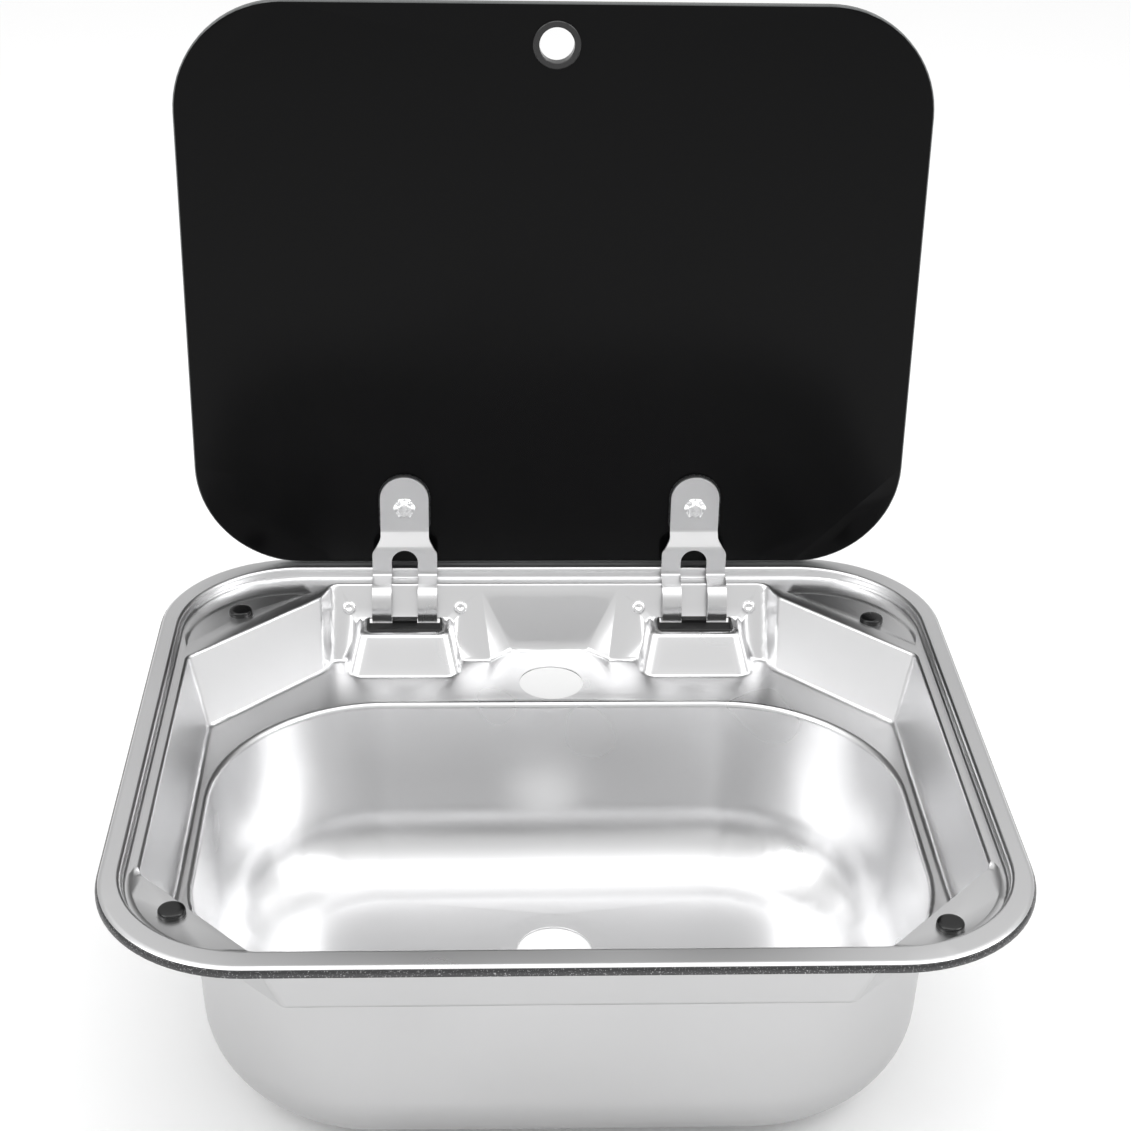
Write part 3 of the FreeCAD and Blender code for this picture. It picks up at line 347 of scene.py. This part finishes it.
def soften(piece, crease_degrees):
    """Smooth shading with creases kept above an angle, and flat faces kept flat."""
    piece.data.shade_smooth()
    piece.data.set_sharp_from_angle(angle=math.radians(crease_degrees))
    weighted = piece.modifiers.new("flat_faces_lead", "WEIGHTED_NORMAL")
    weighted.keep_sharp = True
    weighted.weight = FLAT_FACE_WEIGHT


def stand_in(piece, *nodes):
    """The piece rides with the body of the nodes that it replaces, which are hidden."""
    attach(piece, body_of_node[nodes[0]])
    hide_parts(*nodes)


def finished_copy(node, finish):
    """A smooth copy of a solid in one finish."""
    piece = merged_copy(node, node + "_finished")
    piece.data.materials.append(finish)
    soften(piece, CREASE_DEGREES)
    stand_in(piece, node)


# %% [markdown]
# ## The pressed shell
#
# One copy carries three finishes: what faces up or towards the middle of the bowl is the polished
# side, the lowest band of the outer lip gets painted shade, and the rest is the underside.  Each
# face is sorted by its normal and its place, which is enough for a thin open pressing.

# %% Finish the shell
SHEET_UP = 0.05
LIP_FOOT, LIP_BAND_TOP = -0.0001, 0.0033
LIP_HALF_WIDTH, LIP_HALF_DEPTH, LIP_CORNER = 0.210, 0.185, 0.071
LIP_REACH = 0.0045
SHELL_CREASE_DEGREES = 46.0
# The third index marks the lip band that gets the painted shade.
POLISHED, UNDERSIDE, LIP_SHADE_BAND = 0, 1, 2


def distance_inside_rim(place):
    """How far a point lies inside the rim's rounded outline."""
    over_x = abs(place.x) - (LIP_HALF_WIDTH - LIP_CORNER)
    over_y = abs(place.y) - (LIP_HALF_DEPTH - LIP_CORNER)
    if over_x > 0 and over_y > 0:
        return LIP_CORNER - math.hypot(over_x, over_y)
    return LIP_CORNER - max(over_x, over_y)


def shell_finish_index(face):
    """Which of the three finishes a face of the shell gets."""
    centre, normal = face.center, face.normal
    outwards = normal.x * centre.x + normal.y * centre.y
    outermost = distance_inside_rim(centre) < LIP_REACH
    if outermost and LIP_FOOT < centre.z < LIP_BAND_TOP and outwards > 0:
        return LIP_SHADE_BAND
    if outermost and normal.z > -SHEET_UP:
        return POLISHED
    if abs(normal.z) > SHEET_UP:
        return POLISHED if normal.z > 0 else UNDERSIDE
    return POLISHED if outwards < 0 else UNDERSIDE


shell = merged_copy("sink_shell", "sink_shell_finished")
# The third material is the lip's painted shade.
for finish in (PRESSED_STEEL, OUTER_STEEL, LIP_PAINTED_SHADE):
    shell.data.materials.append(finish)
face_counts = [0, 0, 0]
for face in shell.data.polygons:
    face.material_index = shell_finish_index(face)
    face_counts[face.material_index] += 1
soften(shell, SHELL_CREASE_DEGREES)
stand_in(shell, "sink_shell")
print("shell faces, polished, underside and lip:", face_counts)

# %% [markdown]
# ## The glass
#
# The two broad faces are polished, and the bevels all round and inside the holes are ground, so
# faces are sorted by how nearly they look along the glass's own normal.

# %% Finish the glass
LID_LEAN = math.radians(1.8)
GLASS_NORMAL = Vector((0.0, -math.cos(LID_LEAN), math.sin(LID_LEAN)))
BROAD_FACE_MATCH = 0.99
GLASS_CREASE_DEGREES = 20.0

glass = merged_copy("glass_lid", "glass_lid_finished")
glass.data.materials.append(DARK_GLASS)
glass.data.materials.append(GLASS_EDGE)
for face in glass.data.polygons:
    face.material_index = 0 if abs(face.normal.dot(GLASS_NORMAL)) > BROAD_FACE_MATCH else 1
soften(glass, GLASS_CREASE_DEGREES)
stand_in(glass, "glass_lid")
print("glass faces:", len(glass.data.polygons))

# %% [markdown]
# ## Arms, brackets and trim
#
# The arms are strips of stainless steel bent over a form: a tab on the glass, a joggle, a wide
# plate and two legs that curl into the slots.  The solids already have those bends, so these
# pieces need no new shape, only smooth shading and the right finish.

# %% Finish the hinge pieces
for side in ("left", "right"):
    finished_copy("hinge_arm_" + side, ARM_STEEL)
    finished_copy("hinge_bracket_" + side, ARM_STEEL)
    finished_copy("arm_gasket_" + side, BLACK_RUBBER)
    finished_copy("slot_liner_" + side, LINER_PLASTIC)
for node, finish in (("finger_grommet", BLACK_PLASTIC), ("glass_bushes", BLACK_PLASTIC),
                     ("outer_washers", BLACK_RUBBER), ("cap_nuts", PLATED_STEEL),
                     ("hinge_pins", PLATED_STEEL), ("pin_clips", PLATED_STEEL),
                     ("spacer_sleeves", BLACK_PLASTIC), ("friction_washers", BLACK_PLASTIC)):
    finished_copy(node, finish)

# %% [markdown]
# ## One tree for every turned head
#
# Rivets, screws, lock washers and rubber bumpers repeat around the sink, and all of them are
# round things with a domed or flat top, a stem behind, and perhaps a dimple or lobes.  So one
# geometry-node tree makes them all: it bends a grid round an axis like a potter turning a
# profile, adds the stem, and sets a copy on each point that it is given.  A real rivet's dome is
# formed by a hammer die and a bumper by a mould, and both leave just such a turned profile.

# %% The profile's inputs
TURNED_SIZES = ("Radius", "Height", "Squareness", "Phase", "Dimple Radius", "Dimple Depth",
                "Lobe Size", "Lobe Rise", "Stem Radius", "Stem Length")
TURNED_COUNTS = ("Segments", "Rings", "Lobes")
STEM_SIDES = 16

turned_heads = bpy.data.node_groups.new("turned_heads", "GeometryNodeTree")
turned_heads.interface.new_socket("Places", in_out="INPUT", socket_type="NodeSocketGeometry")
for label in TURNED_SIZES:
    turned_heads.interface.new_socket(label, in_out="INPUT", socket_type="NodeSocketFloat")
for label in TURNED_COUNTS:
    turned_heads.interface.new_socket(label, in_out="INPUT", socket_type="NodeSocketInt")
turned_heads.interface.new_socket("Turn", in_out="INPUT", socket_type="NodeSocketVector")
turned_heads.interface.new_socket("Finish", in_out="INPUT", socket_type="NodeSocketMaterial")
turned_heads.interface.new_socket("Heads", in_out="OUTPUT", socket_type="NodeSocketGeometry")
given = turned_heads.nodes.new("NodeGroupInput").outputs
print("inputs:", [socket.name for socket in given if socket.name])

# %% Small helpers for the tree


def tree_node(kind, **sockets):
    """A node of the tree with its inputs linked or set by name."""
    node = turned_heads.nodes.new(kind)
    for label, value in sockets.items():
        socket = node.inputs[label.replace("_", " ")]
        if isinstance(value, bpy.types.NodeSocket):
            turned_heads.links.new(value, socket)
        else:
            socket.default_value = value
    return node


def maths(operation, *values):
    """The result of a Math node on sockets or numbers."""
    node = turned_heads.nodes.new("ShaderNodeMath")
    node.operation = operation
    for socket, value in zip(node.inputs, values):
        if isinstance(value, bpy.types.NodeSocket):
            turned_heads.links.new(value, socket)
        else:
            socket.default_value = value
    return node.outputs[0]


# %% [markdown]
# ## How the profile is turned
#
# One side of the grid runs round the axis and gives the angle, the other runs from the middle of
# the base out to its edge and then up to the top.  A quarter of a circle raised to a power gives
# the profile: a power of 1 is a dome, and a small power is a flat-topped drum with a round edge.
# Six sides instead of many turn the drum into a hexagon.

# %% Bend the grid into a turned profile
grid = tree_node("GeometryNodeMeshGrid", Size_X=1.0, Size_Y=1.0,
                 Vertices_X=maths("ADD", given["Segments"], 1.0),
                 Vertices_Y=maths("ADD", given["Rings"], 1.0)).outputs["Mesh"]
flat_place = tree_node("ShaderNodeSeparateXYZ",
                       Vector=tree_node("GeometryNodeInputPosition").outputs["Position"]).outputs
angle = maths("MULTIPLY_ADD", maths("ADD", flat_place["X"], 0.5), 2.0 * math.pi, given["Phase"])
ring = maths("MULTIPLY", maths("ADD", flat_place["Y"], 0.5), given["Rings"])
base_share = maths("MINIMUM", ring, 1.0)
climb = maths("MAXIMUM", maths("DIVIDE", maths("SUBTRACT", ring, 1.0),
                               maths("SUBTRACT", given["Rings"], 1.0)), 0.0)
lean = maths("MULTIPLY", climb, math.pi / 2.0)
inward = maths("POWER", maths("MAXIMUM", maths("COSINE", lean), 0.0), given["Squareness"])
upward = maths("POWER", maths("MAXIMUM", maths("SINE", lean), 0.0), given["Squareness"])
wave = maths("COSINE", maths("MULTIPLY", angle, given["Lobes"]))
reach = maths("MULTIPLY", maths("MULTIPLY", given["Radius"], base_share), inward)
reach = maths("MULTIPLY", reach, maths("MULTIPLY_ADD", wave, given["Lobe Size"], 1.0))
lobe_lift = maths("MULTIPLY_ADD", maths("MULTIPLY", wave, inward), given["Lobe Rise"], 1.0)
rise = maths("MULTIPLY", maths("MULTIPLY", given["Height"], upward), lobe_lift)
hollow = maths("SUBTRACT", 1.0, maths("POWER", maths("DIVIDE", reach, given["Dimple Radius"]), 2.0))
hollow = maths("MULTIPLY", maths("MAXIMUM", hollow, 0.0), given["Dimple Depth"])
hollow = maths("MULTIPLY", hollow, maths("GREATER_THAN", climb, 0.0))
turned_place = tree_node("ShaderNodeCombineXYZ",
                         X=maths("MULTIPLY", reach, maths("COSINE", angle)),
                         Y=maths("MULTIPLY", reach, maths("SINE", angle)),
                         Z=maths("SUBTRACT", rise, hollow)).outputs[0]
head = tree_node("GeometryNodeSetPosition", Geometry=grid, Position=turned_place).outputs[0]
head = tree_node("GeometryNodeMergeByDistance", Geometry=head,
                 Distance=MERGE_DISTANCE).outputs[0]
print("nodes for the head:", len(turned_heads.nodes))

# %% Add the stem and set a copy on each point
stem = tree_node("GeometryNodeMeshCylinder", Vertices=STEM_SIDES, Radius=given["Stem Radius"],
                 Depth=given["Stem Length"]).outputs["Mesh"]
sink_by = tree_node("ShaderNodeCombineXYZ",
                    Z=maths("MULTIPLY", given["Stem Length"], -0.5)).outputs[0]
stem = tree_node("GeometryNodeTransform", Geometry=stem, Translation=sink_by).outputs[0]
whole = turned_heads.nodes.new("GeometryNodeJoinGeometry")
for part in (head, stem):
    turned_heads.links.new(part, whole.inputs[0])
copies = tree_node("GeometryNodeInstanceOnPoints", Points=given["Places"],
                   Instance=whole.outputs[0], Rotation=given["Turn"]).outputs[0]
solid = tree_node("GeometryNodeRealizeInstances", Geometry=copies).outputs[0]
dressed = tree_node("GeometryNodeSetMaterial", Geometry=solid, Material=given["Finish"]).outputs[0]
tree_end = turned_heads.nodes.new("NodeGroupOutput")
turned_heads.links.new(dressed, tree_end.inputs[0])
print("nodes in the whole tree:", len(turned_heads.nodes))

# %% Use the tree
identifiers = {item.name: item.identifier for item in turned_heads.interface.items_tree}


def turned_pieces(name, places, nodes_replaced, finish, crease_degrees, turn, **values):
    """Run the tree on some points and keep the result as one plain mesh."""
    points = bpy.data.meshes.new(name + "_places")
    points.from_pydata([tuple(place) for place in places], [], [])
    holder = bpy.data.objects.new(name + "_places", points)
    scene.collection.objects.link(holder)
    heads = holder.modifiers.new("heads", "NODES")
    heads.node_group = turned_heads
    for label in TURNED_SIZES:
        heads[identifiers[label]] = values.get(label.replace(" ", "_"), 0.0)
    for label in TURNED_COUNTS:
        heads[identifiers[label]] = values.get(label, 1)
    heads[identifiers["Turn"]] = turn
    heads[identifiers["Finish"]] = finish
    bpy.context.view_layer.update()
    ready = holder.evaluated_get(bpy.context.evaluated_depsgraph_get())
    mesh = bpy.data.meshes.new_from_object(ready)
    bpy.data.objects.remove(holder)
    mesh.name = name
    piece = bpy.data.objects.new(name, mesh)
    scene.collection.objects.link(piece)
    soften(piece, crease_degrees)
    stand_in(piece, *nodes_replaced)
    print(name, "has", len(mesh.polygons), "faces on", len(places), "places")


print("sockets set by identifier:", len(identifiers))

# %% [markdown]
# ## Where the heads stand
#
# The rivets sit on the sloping rear wall of the pan, either side of each hinge.  The screws stand
# on the arms of the open lid, which lean back a little, and the four bumpers stand on the
# platforms in the rim's corners, where the closed lid comes to rest.

# %% Places
HINGE_X = 0.0809
WALL_SLOPE = math.radians(57.784)
RIVET_OFFSET, RIVET_Y, RIVET_Z = 0.031, 0.15640, -0.01307
LID_EDGE_Y, LID_EDGE_Z = 0.1773, 0.0048
SCREW_RISE, ARM_FRONT, WASHER_THICKNESS = 0.0348, 0.0030, 0.0008
BUMPER_SEAT = -0.0028
BUMPER_PLACES = ((-0.1743, -0.1360), (-0.1694, 0.1323), (0.1750, 0.1225), (0.1660, -0.1495))


def in_front_of_lid(x, ahead, height):
    """A point ahead of the open glass's face, at a height up the leaning glass."""
    return Vector((x, LID_EDGE_Y - ahead * math.cos(LID_LEAN) + height * math.sin(LID_LEAN),
                   LID_EDGE_Z + ahead * math.sin(LID_LEAN) + height * math.cos(LID_LEAN)))


both_hinges = (-HINGE_X, HINGE_X)
rivet_places = [Vector((hinge + offset, RIVET_Y, RIVET_Z))
                for hinge in both_hinges for offset in (-RIVET_OFFSET, RIVET_OFFSET)]
washer_places = [in_front_of_lid(x, ARM_FRONT, SCREW_RISE) for x in both_hinges]
screw_places = [in_front_of_lid(x, ARM_FRONT + WASHER_THICKNESS, SCREW_RISE) for x in both_hinges]
bumper_places = [Vector((x, y, BUMPER_SEAT)) for x, y in BUMPER_PLACES]
print("first rivet at", [round(value, 4) for value in rivet_places[0]])
print("first screw at", [round(value, 4) for value in screw_places[0]])

# %% Rivets, washers, screws and bumpers
ON_WALL = (WALL_SLOPE, 0.0, 0.0)
ON_LID = (math.pi / 2.0 - LID_LEAN, 0.0, 0.0)
UPRIGHT = (0.0, 0.0, 0.0)
CORNER_UP = math.pi / 6.0

turned_pieces(
    "rivets", rivet_places, ("bracket_rivets",), CRUMPLED_STEEL, 40.0, ON_WALL,
    Segments=40, Rings=20, Radius=0.0038, Height=0.0017, Squareness=0.8,
    Dimple_Radius=0.0017, Dimple_Depth=0.0009, Stem_Radius=0.0016, Stem_Length=0.0026)
turned_pieces(
    "lock_washers", washer_places, ("star_washers",), CRUMPLED_STEEL, 50.0, ON_LID,
    Segments=96, Rings=18, Radius=0.0060, Height=0.0017, Squareness=0.75, Phase=CORNER_UP,
    Lobes=6, Lobe_Size=0.08, Lobe_Rise=0.85, Dimple_Radius=0.004,
    Stem_Radius=0.0025, Stem_Length=0.0002)
turned_pieces(
    "hexagon_screws", screw_places, ("lid_screws",), CRUMPLED_STEEL, 32.0, ON_LID,
    Segments=6, Rings=18, Radius=0.0046, Height=0.0036, Squareness=0.34, Phase=CORNER_UP,
    Dimple_Radius=0.0023, Dimple_Depth=0.0006, Stem_Radius=0.00245, Stem_Length=0.0124)
turned_pieces(
    "bumpers", bumper_places,
    ("bumper_front_left", "bumper_rear_left", "bumper_rear_right", "bumper_front_right"),
    BUMPER_RUBBER, 60.0, UPRIGHT,
    Segments=48, Rings=20, Radius=0.00625, Height=0.0030, Squareness=0.38,
    Dimple_Radius=0.0017, Stem_Radius=0.0020, Stem_Length=0.0035)

# %% [markdown]
# ## Floor, room and lamps
#
# The sink stands on white paper, with soft light from above and from both sides.  Polished steel
# is a picture of its room, so the room matters more than the lamps: bright in front and
# overhead, and a grey wall behind the sink, which the level surfaces mirror.  The paper looks
# white to the eye and to the mirrors, but passes less light on to matt surfaces, so that the
# steel keeps its own tone.

# %% Floor
FLOOR_SIZE = 12.0
FLOOR_GAP = 0.0004
PAPER_SEEN, PAPER_LIT = 1.0, 0.80
floor_height = cad_box[0][2] - FLOOR_GAP

floor_mesh = bpy.data.meshes.new("floor")
half = FLOOR_SIZE / 2.0
corners = [(x * half, y * half, floor_height) for x, y in ((-1, -1), (1, -1), (1, 1), (-1, 1))]
floor_mesh.from_pydata(corners, [], [(0, 1, 2, 3)])
floor = bpy.data.objects.new("floor", floor_mesh)
scene.collection.objects.link(floor)
print("floor at", round(floor_height, 4))


# %% Which rays see the white


def seen_directly(nodes, links):
    """1 for rays from the camera, from mirrors and through glass, else 0."""
    rays = nodes.new("ShaderNodeLightPath")
    seen = rays.outputs["Is Camera Ray"]
    for kind in ("Is Glossy Ray", "Is Transmission Ray"):
        larger = nodes.new("ShaderNodeMath")
        larger.operation = "MAXIMUM"
        links.new(seen, larger.inputs[0])
        links.new(rays.outputs[kind], larger.inputs[1])
        seen = larger.outputs[0]
    return seen


def chosen_tone(nodes, links, factor, plain, shown):
    """A colour that is plain where the factor is 0 and shown where it is 1."""
    pick = nodes.new("ShaderNodeMix")
    pick.data_type = "RGBA"
    links.new(factor, pick.inputs["Factor"])
    for socket, value in ((pick.inputs["A"], plain), (pick.inputs["B"], shown)):
        if isinstance(value, bpy.types.NodeSocket):
            links.new(value, socket)
        else:
            socket.default_value = (value, value, value, 1.0)
    return pick.outputs["Result"]


floor_finish, nodes, links, shader = new_finish(
    "floor_paper", Roughness=1.0, Specular_IOR_Level=0.0)
links.new(chosen_tone(nodes, links, seen_directly(nodes, links), PAPER_LIT, PAPER_SEEN),
          shader.inputs["Base Color"])
floor_mesh.materials.append(floor_finish)
print("paper tones, seen and lit:", PAPER_SEEN, PAPER_LIT)

# %% Room
STRAIGHT_DOWN, STRAIGHT_UP = -1.0, 1.0
REAR_STARTS, REAR_FULL = -0.15, 0.35
FRONT_TONES = ((0.0, 1.0), (0.50, 0.85), (0.60, 0.66), (0.82, 0.68), (0.93, 0.95), (1.0, 1.0))
REAR_TONES = ((0.0, 1.0), (0.50, 0.80), (0.60, 0.50), (0.75, 0.46), (0.84, 0.75), (0.93, 1.0))
MATT_LIGHT = 0.9


def height_tones(nodes, links, height, tones):
    """A ramp of grey tones over the height in the room, from straight down to straight up."""
    ramp = nodes.new("ShaderNodeValToRGB")
    ramp.color_ramp.interpolation = "EASE"
    elements = ramp.color_ramp.elements
    while len(elements) < len(tones):
        elements.new(0.5)
    for element, (position, tone) in zip(elements, tones):
        element.position = position
        element.color = (tone, tone, tone, 1.0)
    links.new(height, ramp.inputs["Fac"])
    return ramp.outputs["Color"]


world = bpy.data.worlds.new("room")
scene.world = world
world.use_nodes = True
nodes, links = world.node_tree.nodes, world.node_tree.links
direction = nodes.new("ShaderNodeSeparateXYZ")
links.new(nodes.new("ShaderNodeTexCoord").outputs["Generated"], direction.inputs["Vector"])
height = spread(nodes, links, direction.outputs["Z"], 0.0, 1.0, STRAIGHT_DOWN, STRAIGHT_UP)
rearness = spread(nodes, links, direction.outputs["Y"], 0.0, 1.0, REAR_STARTS, REAR_FULL)
room_tone = chosen_tone(nodes, links, rearness, height_tones(nodes, links, height, FRONT_TONES),
                        height_tones(nodes, links, height, REAR_TONES))
links.new(chosen_tone(nodes, links, seen_directly(nodes, links), MATT_LIGHT, room_tone),
          nodes["Background"].inputs["Color"])
nodes["Background"].inputs["Strength"].default_value = 1.0
print("room nodes:", len(nodes))

# %% Lamps
SINK_MIDDLE = Vector((0.0, 0.0, 0.0))


def soft_lamp(name, place, size, power):
    """A rectangular soft box aimed at the sink."""
    lamp_data = bpy.data.lights.new(name, "AREA")
    lamp_data.shape = "RECTANGLE"
    lamp_data.size, lamp_data.size_y = size
    lamp_data.energy = power
    lamp = bpy.data.objects.new(name, lamp_data)
    scene.collection.objects.link(lamp)
    aim = (SINK_MIDDLE - Vector(place)).to_track_quat("-Z", "Y")
    lamp.matrix_world = Matrix.Translation(Vector(place)) @ aim.to_matrix().to_4x4()


soft_lamp("lamp_left", (-1.3, -0.5, 1.3), (0.9, 1.2), 8.0)
soft_lamp("lamp_right", (1.2, -0.3, 1.1), (0.6, 1.0), 7.0)
soft_lamp("lamp_top", (0.0, -0.1, 1.7), (1.4, 0.9), 6.0)

# %% [markdown]
# ## Close the lesson
#
# The solids' box is printed. The visual model has to stay inside the solids' box.

# %% Measure and finish
print("cad box", [round(value, 4) for corner in cad_box for value in corner])
